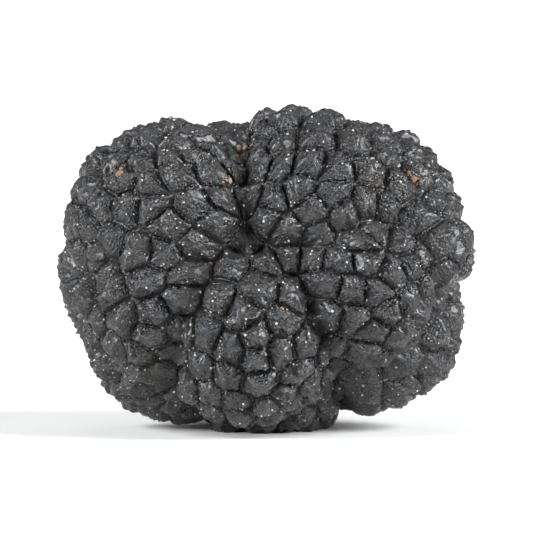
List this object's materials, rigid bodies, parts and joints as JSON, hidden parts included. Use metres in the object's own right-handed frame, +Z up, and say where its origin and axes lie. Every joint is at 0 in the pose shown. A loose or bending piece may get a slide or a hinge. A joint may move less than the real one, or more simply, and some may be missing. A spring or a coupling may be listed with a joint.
{
  "type": "black truffle",
  "caption": "Whole black summer truffle: a knobbly lump of grown-together lobes, covered in pyramid-shaped warts and resting on a small flat spot.",
  "frame": {"origin": "on the surface that the truffle rests on, under the middle of its box", "axes": "+Z up from the flat spot to the crown, +X the longest way from the left shoulder to the right knob, -Y the front"},
  "size_m": [0.0334, 0.029, 0.0261],
  "materials": {
    "truffle_skin": "moist black warty skin, satin on the warts and dull in the cracks"
  },
  "bodies": {
    "root": {"truffle": "truffle_skin"}
  },
  "joints": []
}
